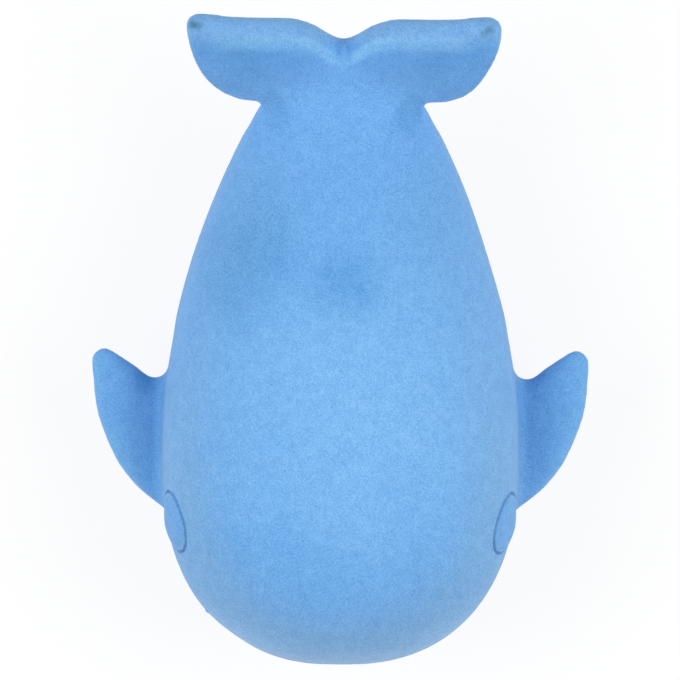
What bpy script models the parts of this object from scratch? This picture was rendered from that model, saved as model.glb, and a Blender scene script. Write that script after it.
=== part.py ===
"""Squeaky whale toy: a foam-rubber skin moulded in two halves, a foam core and a squeaker in the belly.

Metres, +Z up. The nose points to -Y, the flukes to +Y, and the flat of the belly stands on Z = 0.
The origin is on the floor, midway between the nose and the tips of the flukes.
"""

import math

import bmesh
import bpy
from mathutils import Matrix, Vector

# Fit between pieces that touch
GAP = 0.0003

# Body
LENGTH = 0.150  # nose to the tips of the flukes
HEAD_LENGTH = 0.049  # nose to the widest section
BODY_BREADTH = 0.0824
BACK_HEIGHT = 0.058  # floor to the top of the back
SEAM_HEIGHT = 0.026  # floor to the mould seam round the head and belly
BELLY_FLAT = 0.0022  # depth of the round belly that is flattened to stand on
STOCK_BREADTH = 0.037  # tail stock at the root of the flukes
STOCK_ABOVE = 0.0095  # tail stock over the seam, at the root of the flukes
STOCK_BELOW = 0.010  # tail stock under the seam, at the root of the flukes
STOCK_REACH = 0.0085  # tail stock past the root of the flukes, buried in them
STOCK_CAP = 0.010  # length of the stock's rounded end
TAIL_RISE = 0.009  # climb of the seam to the root of the flukes
RISE_LENGTH = 0.0545  # stretch over which the seam climbs
HEAD_BLUNTNESS = 2.4  # superellipse power of the nose's outline
SECTION_FULLNESS = 2.2  # superellipse power of the body's cross-sections

# Skin and core
SKIN = 0.005
CORE_SETBACK = 0.0085  # tail end of the foam core ahead of the root of the flukes
CORE_CAP = 0.016  # length of the core's rounded tail end

# Flukes
FLUKE_SPAN = 0.0727
FLUKE_REACH = 0.0205  # root of the flukes to their tips, seen from above
FLUKE_TILT = math.radians(50)  # rise of the flukes from level
FLUKE_THICKNESS = 0.0075
FLUKE_TIP_THICKNESS = 0.0062
FLUKE_STRAIGHT = 0.020  # centre to where the leading edge starts to curve back
FLUKE_LEAD = 0.0022  # leading edge behind the root, along the fluke
FLUKE_TIP_RADIUS = 0.0030
FLUKE_TIP_FLARE = 0.0016  # tips behind the rest of the trailing edge
NOTCH_DEPTH = 0.0072
NOTCH_HALF_WIDTH = 0.0135
FLUKE_BLUNTNESS = 2.0  # superellipse power of the leading edge

# Flippers
FLIPPER_FRONT = 0.0347  # nose to the front of the flipper's root
FLIPPER_ROOT = 0.0310  # length of the root along the body
FLIPPER_SPAN = 0.0168  # side of the body to the outer edge, along the flipper
FLIPPER_TIP_BACK = 0.0072  # tip behind the rear of the root
FLIPPER_TIP_RADIUS = 0.0026
FLIPPER_TIP_TURN = math.radians(122)  # turn of the outline round the tip
FLIPPER_HEIGHT = 0.0185  # floor to the flipper at the side of the body
FLIPPER_LIFT = math.radians(22)
FLIPPER_DROOP = 0.0012  # fall of the outer edge below that slope
FLIPPER_THICKNESS = 0.0092
FLIPPER_TIP_THICKNESS = 0.0056
FLIPPER_DEPTH = 0.007  # root carried in under the side of the body before it is trimmed
FLIPPER_BLUNTNESS = 1.68  # superellipse power of the leading edge

# Eyes
EYE_DIAMETER = 0.0140
EYE_FROM_NOSE = 0.0326
EYE_HEIGHT = 0.0360  # floor to the middle of the eye
EYE_THICKNESS = 0.0034
EYE_PROUD = 0.0008  # crown of the eye over the skin

EDGE_FULLNESS = 3.0  # superellipse power of the rounded edges of flippers and eyes
FLUKE_FULLNESS = 5.0  # the same for the flukes, whose faces are flatter

# Squeaker
SQUEAKER_FROM_NOSE = 0.051
PLUG_RECESS = 0.0008  # face of the plug above the floor
FLANGE_RADIUS = 0.009
FLANGE_THICKNESS = 0.0014
NECK_RADIUS = 0.0062
BARB_RADIUS = 0.0078
BARB_HEIGHT = 0.0024
PLUG_HEIGHT = 0.0185  # face of the plug to the top of its barrel
PLUG_FLOOR = 0.0016  # thickness of the plug's face over the sound hole
BORE_RADIUS = 0.0042
SOUND_HOLE_RADIUS = 0.0022
REED_THICKNESS = 0.0003
REED_WIDTH = 0.0052
REED_CLAMPED = 0.0024  # length of reed held under the wedge
REED_FREE = 0.009  # length of reed that swings
REED_SWING_IN = math.radians(3)  # travel towards the bed
BED_MARGIN = math.radians(1)  # bed cut back past the reed's inward travel
CHANNEL_WIDTH = 0.0030
CHANNEL_DEPTH = 0.0015
CHANNEL_STOP = 0.0015  # bed left over the closed end of the channel
POCKET_RADIUS = 0.0115  # air space round the squeaker, in the foam
POCKET_CLEARANCE = 0.006  # air space over the squeaker

# Places worked out from those sizes
NOSE_Y = -LENGTH / 2
WIDEST_Y = NOSE_Y + HEAD_LENGTH
ROOT_Y = NOSE_Y + LENGTH - FLUKE_REACH
STOCK_END_Y = ROOT_Y + STOCK_REACH
CORE_END_Y = ROOT_Y - CORE_SETBACK
SQUEAKER_Y = NOSE_Y + SQUEAKER_FROM_NOSE
SQUEAKER_AXIS = Matrix.Translation((0, SQUEAKER_Y, 0))
PLUG_TOP = PLUG_RECESS + PLUG_HEIGHT
FLANGE_TOP = PLUG_RECESS + FLANGE_THICKNESS
BORE_FLOOR = PLUG_RECESS + PLUG_FLOOR
OVERSIZE = LENGTH  # reach of a cutter past what it cuts

# Mesh density: rings along the head, the taper and the rounded tail end, and segments round them
SKIN_RINGS = (14, 16, 6)
SKIN_SEGMENTS = 56
CORE_RINGS = (8, 9, 4)
CORE_SEGMENTS = 32
EDGE_RINGS = 12
ROUND_SEGMENTS = 32

BLUE = (0.19, 0.43, 0.80)
CREAM = (0.80, 0.74, 0.58)
WHITE = (0.85, 0.85, 0.83)
AMBER = (0.72, 0.58, 0.30)


def clear_scene():
    for obj in list(bpy.data.objects):
        bpy.data.objects.remove(obj)


def make_collection(name):
    collection = bpy.data.collections.new(name)
    bpy.context.scene.collection.children.link(collection)
    return collection


def make_material(name, colour, roughness):
    material = bpy.data.materials.new(name)
    material.use_nodes = True
    shader = material.node_tree.nodes["Principled BSDF"]
    shader.inputs["Base Color"].default_value = (*colour, 1)
    shader.inputs["Roughness"].default_value = roughness
    return material


def add_piece(name, mesh, material, place=Matrix.Identity(4)):
    """A named piece of the toy, with its own material."""
    obj = bpy.data.objects.new(name, mesh)
    obj.matrix_world = place
    mesh.materials.append(material)
    mesh.shade_smooth()
    mesh.set_sharp_from_angle(angle=math.radians(40))
    TOY.objects.link(obj)
    return obj


def add_cutter(mesh, place=Matrix.Identity(4)):
    obj = bpy.data.objects.new(mesh.name, mesh)
    obj.matrix_world = place
    obj.hide_render = True
    obj.display_type = "WIRE"
    CUTTERS.objects.link(obj)
    return obj


def boolean(obj, operation, cutter):
    modifier = obj.modifiers.new(f"{operation.lower()} {cutter.name}", "BOOLEAN")
    modifier.operation = operation
    modifier.object = cutter


def mesh_from(shape, name):
    mesh = bpy.data.meshes.new(name)
    shape.to_mesh(mesh)
    shape.free()
    return mesh


def rounded(share, power):
    """A cosine or sine bent from a circle's to a superellipse's."""
    return math.copysign(abs(share) ** (2 / power), share)


# Body form


def seam_height(y):
    climb = max(0.0, y - (ROOT_Y - RISE_LENGTH)) / RISE_LENGTH
    return SEAM_HEIGHT + TAIL_RISE * climb**4


def end_rounding(y, inset, tail_y, cap):
    """Share of the full section that is left at y, by the blunt nose and the rounded tail end."""
    if y < WIDEST_Y:
        run = (WIDEST_Y - y) / (HEAD_LENGTH - inset)
        return max(0.0, 1 - run**HEAD_BLUNTNESS) ** (1 / HEAD_BLUNTNESS)
    run = max(0.0, y - (tail_y - cap)) / cap
    return math.sqrt(max(0.0, 1 - run**2))


def body_point(y, around, inset=0.0, tail_y=STOCK_END_Y, cap=STOCK_CAP):
    """A point of the body's surface, drawn in by inset.

    Each half-size is full at the widest section and falls as a parabola to the tail stock's.
    """
    taper = (max(0.0, y - WIDEST_Y) / (ROOT_Y - WIDEST_Y)) ** 2
    left = end_rounding(y, inset, tail_y, cap)

    def half_size(widest, stock):
        return (widest - (widest - stock) * taper - inset) * left

    across = half_size(BODY_BREADTH / 2, STOCK_BREADTH / 2)
    if math.sin(around) > 0:
        upright = half_size(BACK_HEIGHT - SEAM_HEIGHT, STOCK_ABOVE)
    else:
        upright = half_size(SEAM_HEIGHT + BELLY_FLAT, STOCK_BELOW)
    x = across * rounded(math.cos(around), SECTION_FULLNESS)
    z = seam_height(y) + upright * rounded(math.sin(around), SECTION_FULLNESS)
    return Vector((x, y, z))


def body_mesh(name, inset, rings, segments, tail_y=STOCK_END_Y, cap=STOCK_CAP):
    """The body without fins: a warped sphere, with its poles at the nose and tail and a flat under it."""
    head, taper, end = rings
    shape = bmesh.new()
    bmesh.ops.create_uvsphere(shape, u_segments=segments, v_segments=sum(rings), radius=1)
    for vert in shape.verts:
        ring = round(math.acos(max(-1.0, min(1.0, vert.co.z))) / math.pi * sum(rings))
        if ring <= head:
            forward = rounded(math.cos(ring / head * math.pi / 2), HEAD_BLUNTNESS)
            y = WIDEST_Y - (HEAD_LENGTH - inset) * forward
        elif ring <= head + taper:
            y = WIDEST_Y + (tail_y - cap - WIDEST_Y) * (ring - head) / taper
        else:
            y = tail_y - cap + cap * math.sin((ring - head - taper) / end * math.pi / 2)
        point = body_point(y, math.atan2(vert.co.y, vert.co.x), inset, tail_y, cap)
        point.z = max(point.z, inset)
        vert.co = point
    return mesh_from(shape, name)


def side_block(name, upper):
    """A prism over or under the mould seam, across the whole toy, half a gap clear of the seam."""
    steps = 24
    offset = GAP / 2 if upper else -GAP / 2
    seam = []
    for step in range(steps + 1):
        y = NOSE_Y - GAP + (STOCK_END_Y - NOSE_Y + 2 * GAP) * step / steps
        seam.append((y, seam_height(y) + offset))
    far = OVERSIZE if upper else -OVERSIZE
    outline = seam + [(seam[-1][0], far), (seam[0][0], far)]
    curve = bpy.data.curves.new(name, "CURVE")
    curve.dimensions = "2D"
    curve.fill_mode = "BOTH"
    curve.extrude = OVERSIZE / 2
    spline = curve.splines.new("POLY")
    spline.points.add(len(outline) - 1)
    spline.use_cyclic_u = True
    for point, (y, z) in zip(spline.points, outline):
        point.co = (y, z, 0, 1)
    guide = bpy.data.objects.new(name, curve)
    CUTTERS.objects.link(guide)
    bpy.context.view_layer.update()
    graph = bpy.context.evaluated_depsgraph_get()
    shape = bmesh.new()
    mesh = bpy.data.meshes.new_from_object(guide.evaluated_get(graph))
    shape.from_mesh(mesh)
    bmesh.ops.remove_doubles(shape, verts=shape.verts, dist=1e-6)
    bmesh.ops.recalc_face_normals(shape, faces=shape.faces)
    bpy.data.objects.remove(guide)
    # The outline's plane is turned to stand along the toy's length
    place = Matrix(((0, 0, 1, 0), (1, 0, 0, 0), (0, 1, 0, 0), (0, 0, 0, 1)))
    return add_cutter(mesh_from(shape, name), place)


# Fins and eyes: pebbles of a given outline


def pebble_mesh(name, outline, middle, thicknesses, fullness, droop=0.0, mirrored=False):
    """A sphere pressed to a flat pebble of that outline, which thins and droops towards its far side."""
    thickness, tip_thickness = thicknesses
    count = len(outline)
    span = max(point.x for point in outline)
    shape = bmesh.new()
    bmesh.ops.create_uvsphere(shape, u_segments=count, v_segments=EDGE_RINGS, radius=1)
    for vert in shape.verts:
        rim = math.hypot(vert.co.x, vert.co.y)
        index = round(math.atan2(vert.co.y, vert.co.x) / math.tau * count) % count
        place = middle.lerp(outline[index], rounded(rim, fullness))
        outward = max(0.0, place.x) / span
        half_thickness = (thickness + (tip_thickness - thickness) * outward) / 2
        height = half_thickness * rounded(vert.co.z, fullness) - droop * outward**2
        vert.co = (-place.x if mirrored else place.x, place.y, height)
    if mirrored:
        bmesh.ops.reverse_faces(shape, faces=shape.faces)
    return mesh_from(shape, name)


def leading_edge(start, end, power, steps):
    """A quarter superellipse from start, where it runs across, to end, where it runs back."""
    points = []
    for step in range(steps + 1):
        turn = math.pi / 2 * step / steps
        across = rounded(math.sin(turn), power)
        back = 1 - rounded(math.cos(turn), power)
        points.append(start + (end - start) * Vector((across, back)))
    return points


def tip_arc(start, radius, turn, steps):
    """An arc that leaves start straight back and turns inwards."""
    points = []
    for step in range(1, steps + 1):
        angle = turn * step / steps
        points.append(start + Vector((math.cos(angle) - 1, math.sin(angle))) * radius)
    return points


def fluke_outline():
    """The right lobe, from past the toy's middle: x across, y along the tilted fluke from its root."""
    half_span = FLUKE_SPAN / 2
    edge_radius = FLUKE_TIP_THICKNESS / 2
    tip_y = (FLUKE_REACH - edge_radius * (1 - math.cos(FLUKE_TILT))) / math.cos(FLUKE_TILT)
    trailing_y = tip_y - FLUKE_TIP_FLARE
    overlap = FLUKE_THICKNESS / 2
    points = [Vector((-overlap, FLUKE_LEAD + overlap)), Vector((FLUKE_STRAIGHT / 2, FLUKE_LEAD))]
    lead_start = Vector((FLUKE_STRAIGHT, FLUKE_LEAD))
    lead_end = Vector((half_span, tip_y - FLUKE_TIP_RADIUS))
    points += leading_edge(lead_start, lead_end, FLUKE_BLUNTNESS, 12)
    points += tip_arc(lead_end, FLUKE_TIP_RADIUS, math.pi / 2, 6)
    straight_run = half_span - FLUKE_TIP_RADIUS - NOTCH_HALF_WIDTH
    points.append(Vector((NOTCH_HALF_WIDTH + straight_run * 2 / 3, (tip_y + 3 * trailing_y) / 4)))
    points.append(Vector((NOTCH_HALF_WIDTH + straight_run / 3, trailing_y)))
    steps = 8
    for step in range(steps + 1):
        share = 1 - step / steps
        dip = NOTCH_DEPTH * (1 - math.sin(math.pi / 2 * share))
        points.append(Vector((NOTCH_HALF_WIDTH * share, trailing_y - dip)))
    points.append(Vector((-overlap, trailing_y - NOTCH_DEPTH - overlap)))
    return points


def make_flukes(rubber, trim):
    outline = fluke_outline()
    middle = Vector((FLUKE_SPAN / 4, (outline[0].y + outline[-1].y) / 2))
    thicknesses = (FLUKE_THICKNESS, FLUKE_TIP_THICKNESS)
    mesh = pebble_mesh("tail_flukes", outline, middle, thicknesses, FLUKE_FULLNESS)
    root = Matrix.Translation((0, ROOT_Y, seam_height(ROOT_Y)))
    flukes = add_piece("tail_flukes", mesh, rubber, root @ Matrix.Rotation(FLUKE_TILT, 4, "X"))
    mirror = flukes.modifiers.new("two lobes", "MIRROR")
    mirror.use_bisect_axis[0] = True
    mirror.merge_threshold = 1e-5
    boolean(flukes, "DIFFERENCE", trim)


def flipper_outline():
    """The flipper in its plane: x out from the side of the body, y back from the front of the root."""
    tip_y = FLIPPER_ROOT + FLIPPER_TIP_BACK
    start = Vector((-FLIPPER_DEPTH / 2, 0))
    outermost = Vector((FLIPPER_SPAN, tip_y - FLIPPER_TIP_RADIUS))
    points = [Vector((-FLIPPER_DEPTH, FLIPPER_DEPTH / 2))]
    points += leading_edge(start, outermost, FLIPPER_BLUNTNESS, 14)
    points += tip_arc(outermost, FLIPPER_TIP_RADIUS, FLIPPER_TIP_TURN, 8)
    valley = Vector((FLIPPER_TIP_RADIUS, FLIPPER_ROOT))
    points += [points[-1].lerp(valley, share / 3) for share in (1, 2, 3)]
    points.append(Vector((-FLIPPER_DEPTH, FLIPPER_ROOT)))
    return points


def make_flipper(name, side, rubber, trim):
    outline = flipper_outline()
    middle = Vector((FLIPPER_SPAN / 3, FLIPPER_ROOT * 2 / 3))
    thicknesses = (FLIPPER_THICKNESS, FLIPPER_TIP_THICKNESS)
    mesh = pebble_mesh(name, outline, middle, thicknesses, EDGE_FULLNESS, FLIPPER_DROOP, side < 0)
    root = Matrix.Translation((side * BODY_BREADTH / 2, NOSE_Y + FLIPPER_FRONT, FLIPPER_HEIGHT))
    flipper = add_piece(name, mesh, rubber, root @ Matrix.Rotation(-side * FLIPPER_LIFT, 4, "Y"))
    boolean(flipper, "DIFFERENCE", trim)


def eye_place(side):
    """The eye's frame on the skin: Z out of the side of the head, Y towards the tail."""
    y = NOSE_Y + EYE_FROM_NOSE
    crown = body_point(y, math.pi / 2).z - SEAM_HEIGHT
    share = (EYE_HEIGHT - SEAM_HEIGHT) / crown
    around = math.asin(share ** (SECTION_FULLNESS / 2))
    step = 1e-4
    centre = body_point(y, around)
    along = body_point(y + step, around) - centre
    up = body_point(y, around + step) - centre
    out = along.cross(up).normalized()
    along.normalize()
    centre += out * (EYE_PROUD - EYE_THICKNESS / 2)
    across = along.cross(out)
    frame = Matrix((across, along, out)).transposed().to_4x4()
    frame.translation = centre
    if side > 0:
        return frame
    return Matrix.Scale(-1, 4, (1, 0, 0)) @ frame @ Matrix.Scale(-1, 4, (1, 0, 0))


def eye_mesh(name, clearance):
    radius = EYE_DIAMETER / 2 + clearance
    thickness = EYE_THICKNESS + 2 * clearance
    turns = [math.tau * step / ROUND_SEGMENTS for step in range(ROUND_SEGMENTS)]
    outline = [Vector((math.cos(turn), math.sin(turn))) * radius for turn in turns]
    return pebble_mesh(name, outline, Vector((0, 0)), (thickness, thickness), EDGE_FULLNESS)


def make_eye(name, side, rubber, skin):
    place = eye_place(side)
    boolean(skin, "DIFFERENCE", add_cutter(eye_mesh(f"{name}_socket", GAP), place))
    add_piece(name, eye_mesh(name, 0.0), rubber, place)


# Squeaker, on an upright axis in the belly


def rod_mesh(name, radius, low, high):
    shape = bmesh.new()
    bmesh.ops.create_cone(
        shape,
        cap_ends=True,
        segments=ROUND_SEGMENTS,
        radius1=radius,
        radius2=radius,
        depth=high - low,
        matrix=Matrix.Translation((0, 0, (low + high) / 2)),
    )
    return mesh_from(shape, name)


def box_mesh(name, low, high):
    low, high = Vector(low), Vector(high)
    shape = bmesh.new()
    size = Matrix.Diagonal((*(high - low), 1))
    bmesh.ops.create_cube(shape, size=1, matrix=Matrix.Translation((low + high) / 2) @ size)
    return mesh_from(shape, name)


def cut_port(belly, core):
    """The belly's port, with a recess for the flange and a hole for the neck, and the foam's air space."""
    recess = rod_mesh("flange_recess", FLANGE_RADIUS + GAP, -OVERSIZE, FLANGE_TOP + GAP)
    hole = rod_mesh("neck_hole", NECK_RADIUS + GAP, -OVERSIZE, OVERSIZE)
    pocket = rod_mesh("air_pocket", POCKET_RADIUS, -OVERSIZE, PLUG_TOP + POCKET_CLEARANCE)
    boolean(belly, "DIFFERENCE", add_cutter(recess, SQUEAKER_AXIS))
    boolean(belly, "DIFFERENCE", add_cutter(hole, SQUEAKER_AXIS))
    boolean(core, "DIFFERENCE", add_cutter(pocket, SQUEAKER_AXIS))


def make_plug(plastic):
    """The barbed plug, turned from its profile: down the outside, then up the sound hole and the bore."""
    barb_low = SKIN + GAP
    profile = [
        (BORE_RADIUS, PLUG_TOP),
        (NECK_RADIUS, PLUG_TOP),
        (NECK_RADIUS, barb_low + BARB_HEIGHT),
        (BARB_RADIUS, barb_low),
        (NECK_RADIUS, barb_low),
        (NECK_RADIUS, FLANGE_TOP),
        (FLANGE_RADIUS, FLANGE_TOP),
        (FLANGE_RADIUS, PLUG_RECESS),
        (SOUND_HOLE_RADIUS, PLUG_RECESS),
        (SOUND_HOLE_RADIUS, BORE_FLOOR),
        (BORE_RADIUS, BORE_FLOOR),
    ]
    shape = bmesh.new()
    corners = [shape.verts.new((radius, 0, z)) for radius, z in profile]
    for corner, following in zip(corners, corners[1:] + corners[:1]):
        shape.edges.new((corner, following))
    plug = add_piece("squeaker_plug", mesh_from(shape, "squeaker_plug"), plastic, SQUEAKER_AXIS)
    screw = plug.modifiers.new("turned", "SCREW")
    screw.steps = ROUND_SEGMENTS
    screw.render_steps = ROUND_SEGMENTS
    screw.use_merge_vertices = True
    screw.merge_threshold = 1e-5


def make_reed(plastic, film):
    """The reed, and the two half-rounds that clamp its lower end in the plug's bore."""
    low = BORE_FLOOR + GAP
    clamp_top = low + REED_CLAMPED
    top = clamp_top + REED_FREE
    face = REED_THICKNESS / 2 + GAP
    half_round = BORE_RADIUS - GAP
    far = OVERSIZE

    bed = add_piece("reed_bed", rod_mesh("reed_bed", half_round, low, top), plastic, SQUEAKER_AXIS)
    front = box_mesh("bed_front", (-face, -far, -far), (far, far, far))
    boolean(bed, "DIFFERENCE", add_cutter(front, SQUEAKER_AXIS))
    channel_corner = (far, CHANNEL_WIDTH / 2, top - CHANNEL_STOP)
    channel = box_mesh("air_channel", (-face - CHANNEL_DEPTH, -CHANNEL_WIDTH / 2, -far), channel_corner)
    boolean(bed, "DIFFERENCE", add_cutter(channel, SQUEAKER_AXIS))
    # Over the clamp the bed leans back, so that the reed can swing in
    lean = Matrix.Translation((0, 0, clamp_top)) @ Matrix.Rotation(-REED_SWING_IN - BED_MARGIN, 4, "Y")
    relief = box_mesh("bed_relief", (-face, -far, 0), (far, far, far))
    boolean(bed, "DIFFERENCE", add_cutter(relief, SQUEAKER_AXIS @ lean))

    stub = rod_mesh("reed_wedge", half_round, low, clamp_top)
    wedge = add_piece("reed_wedge", stub, plastic, SQUEAKER_AXIS)
    back = box_mesh("wedge_back", (-far, -far, -far), (face, far, far))
    boolean(wedge, "DIFFERENCE", add_cutter(back, SQUEAKER_AXIS))

    hinge = bpy.data.objects.new("reed_hinge", None)
    hinge.location = (0, SQUEAKER_Y, clamp_top)
    TOY.objects.link(hinge)
    corner = (REED_THICKNESS / 2, REED_WIDTH / 2, REED_FREE)
    strip = box_mesh("squeaker_reed", (-REED_THICKNESS / 2, -REED_WIDTH / 2, -REED_CLAMPED), corner)
    reed = add_piece("squeaker_reed", strip, film)
    reed.parent = hinge


def make_toy():
    rubber = make_material("blue_foam_rubber", BLUE, 0.9)
    foam = make_material("core_foam", CREAM, 1.0)
    plastic = make_material("squeaker_plastic", WHITE, 0.45)
    film = make_material("reed_film", AMBER, 0.3)

    cavity = add_cutter(body_mesh("cavity", SKIN, CORE_RINGS, CORE_SEGMENTS, CORE_END_Y, CORE_CAP))
    skins = []
    for name, upper in (("back_skin", True), ("belly_skin", False)):
        skin = add_piece(name, body_mesh(name, 0.0, SKIN_RINGS, SKIN_SEGMENTS), rubber)
        boolean(skin, "DIFFERENCE", cavity)
        boolean(skin, "INTERSECT", side_block(f"{name}_side", upper))
        skins.append(skin)
    back, belly = skins
    core_end_y = CORE_END_Y - GAP
    core_mesh = body_mesh("foam_core", SKIN + GAP, CORE_RINGS, CORE_SEGMENTS, core_end_y, CORE_CAP)
    core = add_piece("foam_core", core_mesh, foam)

    trim_end_y = STOCK_END_Y + GAP
    trim = add_cutter(body_mesh("fin_trim", -GAP, SKIN_RINGS, SKIN_SEGMENTS, trim_end_y, STOCK_CAP))
    make_flukes(rubber, trim)
    for side, word in ((-1, "left"), (1, "right")):
        make_flipper(f"{word}_flipper", side, rubber, trim)
        make_eye(f"{word}_eye", side, rubber, back)

    cut_port(belly, core)
    make_plug(plastic)
    make_reed(plastic, film)


clear_scene()
TOY = make_collection("whale_toy")
CUTTERS = make_collection("cutters")
make_toy()
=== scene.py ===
"""Looks of the whale dog toy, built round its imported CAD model."""

import math
from types import SimpleNamespace

import bpy
from mathutils import Matrix, Vector


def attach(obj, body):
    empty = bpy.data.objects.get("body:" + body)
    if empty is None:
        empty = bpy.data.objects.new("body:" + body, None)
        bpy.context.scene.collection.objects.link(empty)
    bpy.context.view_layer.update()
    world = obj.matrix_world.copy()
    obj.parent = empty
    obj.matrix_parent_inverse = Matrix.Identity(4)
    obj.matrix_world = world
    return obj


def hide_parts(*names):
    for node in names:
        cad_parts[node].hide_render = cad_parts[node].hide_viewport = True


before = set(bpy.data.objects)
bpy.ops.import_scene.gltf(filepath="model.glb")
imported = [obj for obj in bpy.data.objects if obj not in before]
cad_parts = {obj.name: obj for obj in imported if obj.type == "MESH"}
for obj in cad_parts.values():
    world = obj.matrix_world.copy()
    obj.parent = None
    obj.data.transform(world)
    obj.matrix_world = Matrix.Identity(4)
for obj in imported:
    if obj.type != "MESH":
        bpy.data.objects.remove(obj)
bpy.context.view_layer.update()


# The moulded form.
# Skin, flippers and flukes are one run of blue foam rubber, cast in a two-part mould, with soft valleys and
# a web behind each flipper. It is shaped once here, from the CAD solids, and cut into pieces further down.

BODY_NODES = ("back_skin", "belly_skin", "foam_core", "left_eye", "right_eye")
FIN_NODES = ("tail_flukes", "left_flipper", "right_flipper")
MERGE_DISTANCE = 1e-6
SMOOTHING_FACTOR = 0.5
FORM_OVERLAP = 0.00025
FORM_VOXEL = 0.0007
FORM_SHRINK = 0.0002
FORM_SMOOTHING = 6
BODY_SMOOTHING = 24
FLIPPER_ROOT = (0.041, 0.046)
FLUKE_ROOT = (0.050, 0.058)
VALLEY_SMOOTHING = 80
VALLEY_INNER = (0.034, 0.038)
VALLEY_OUTER = (0.0425, 0.0475)
VALLEY_FRONT = (-0.044, -0.036)
VALLEY_BACK = (-0.002, 0.005)
VALLEY_TOP = (0.030, 0.037)
TAIL_ROOT_SMOOTHING = 240
TAIL_ROOT_FRONT = (0.038, 0.050)
TAIL_ROOT_BACK = (0.061, 0.067)
TAIL_ROOT_SIDE = (0.013, 0.021)
TAIL_ROOT_FOOT = (0.036, 0.041)
PORT_PLACE = Vector((0, -0.024, 0))
PORT_FILL_RADIUS = 0.0125
PORT_FILL_HEIGHT = 0.027
WEB_CORNER = Vector((0.0397, -0.0101))
WEB_RADIUS = 0.0042
WEB_STEPS = 12
WEB_LOW = 0.0170
WEB_TOP = 0.0226
WEB_ROOT = 0.0015
FLIPPER_FULLNESS = 0.0007
FULLNESS_ROOT = (0.043, 0.048)
FULLNESS_FRONT = (-0.036, -0.028)
FULLNESS_BACK = (-0.018, -0.008)
# How the cast differs from its mould: x and y of a shift's middle, its reach, its move across and back.
CAST_SHIFTS = (
    (0.0275, 0.0570, 0.007, 0.0006, -0.0006),
    (-0.0345, 0.0660, 0.007, 0.0006, 0.0),
    (0.0335, 0.0185, 0.015, -0.0005, 0.0),
    (-0.0240, -0.0690, 0.008, 0.0005, 0.0002),
    (0.0560, -0.0020, 0.007, -0.0003, -0.0004),
    (-0.0560, -0.0020, 0.007, 0.0, -0.0003),
)


def only(piece):
    """Leaves this piece alone selected and active."""
    bpy.ops.object.select_all(action="DESELECT")
    piece.select_set(True)
    bpy.context.view_layer.objects.active = piece


def edit_all(piece, operator, **settings):
    """Runs an edit-mode operator on the whole mesh of a piece."""
    only(piece)
    bpy.ops.object.mode_set(mode="EDIT")
    bpy.ops.mesh.select_all(action="SELECT")
    operator(**settings)
    bpy.ops.object.mode_set(mode="OBJECT")


def point_outward(piece):
    edit_all(piece, bpy.ops.mesh.normals_make_consistent, inside=False)


def new_piece(name, mesh):
    piece = bpy.data.objects.new(name, mesh)
    bpy.context.scene.collection.objects.link(piece)
    return piece


def copy_of_node(node, name):
    """A new piece with a CAD node's mesh, its loose triangles merged."""
    piece = new_piece(name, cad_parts[node].data.copy())
    piece.data.materials.clear()
    edit_all(piece, bpy.ops.mesh.remove_doubles, threshold=MERGE_DISTANCE)
    return piece


def modify(piece, kind, **settings):
    """Adds a modifier with these settings and applies it."""
    only(piece)
    modifier = piece.modifiers.new(kind.lower(), kind)
    for setting, value in settings.items():
        setattr(modifier, setting, value)
    bpy.ops.object.modifier_apply(modifier=modifier.name)


def grow(piece, amount):
    modify(piece, "DISPLACE", strength=amount, mid_level=0)


def remesh(piece, voxel):
    modify(piece, "REMESH", mode="VOXEL", voxel_size=voxel)


def smooth(piece, times, group=""):
    modify(piece, "SMOOTH", factor=SMOOTHING_FACTOR, iterations=times, vertex_group=group)


def join(pieces, name):
    only(pieces[0])
    for piece in pieces[1:]:
        piece.select_set(True)
    bpy.ops.object.join()
    joined = bpy.context.object
    joined.name = name
    return joined


def ramp(value, start, end):
    """0 before start, 1 after end, and a smooth rise between them."""
    share = min(1.0, max(0.0, (value - start) / (end - start)))
    return share * share * (3 - 2 * share)


def between(value, rise, fall):
    """0, then 1 from the end of the rise to the start of the fall, and 0 again."""
    return ramp(value, *rise) * (1 - ramp(value, *fall))


def soften(piece, name, share, times):
    """Smooths the piece, each vertex by the share that its place gives."""
    group = piece.vertex_groups.new(name=name)
    for vertex in piece.data.vertices:
        weight = share(vertex.co)
        if weight > 0:
            group.add([vertex.index], weight, "REPLACE")
    smooth(piece, times, name)


def body_share(place):
    """1 on the body, falling to 0 out on the flippers and flukes."""
    return (1 - ramp(abs(place.x), *FLIPPER_ROOT)) * (1 - ramp(place.y, *FLUKE_ROOT))


def valley_share(place):
    """1 in the valley along a flipper's root, 0 away from it."""
    across = between(abs(place.x), VALLEY_INNER, VALLEY_OUTER)
    along = between(place.y, VALLEY_FRONT, VALLEY_BACK)
    return across * along * (1 - ramp(place.z, *VALLEY_TOP))


def tail_root_share(place):
    """1 in the hollow where the tail stock turns up into the flukes, 0 away from it."""
    along = between(place.y, TAIL_ROOT_FRONT, TAIL_ROOT_BACK)
    across = 1 - ramp(abs(place.x), *TAIL_ROOT_SIDE)
    return along * across * ramp(place.z, *TAIL_ROOT_FOOT)


def grown_copies(nodes):
    grown = []
    for node in nodes:
        solid = copy_of_node(node, node + "_form")
        grow(solid, FORM_OVERLAP)
        grown.append(solid)
    return grown


def prism(name, near, far):
    """A closed solid between two outlines with as many corners each."""
    count = len(near)
    faces = [tuple(range(count)), tuple(range(2 * count - 1, count - 1, -1))]
    for corner in range(count):
        following = (corner + 1) % count
        faces.append((corner, count + corner, count + following, following))
    mesh = bpy.data.meshes.new(name)
    mesh.from_pydata([*near, *far], [], faces)
    solid = new_piece(name, mesh)
    point_outward(solid)
    return solid


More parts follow.
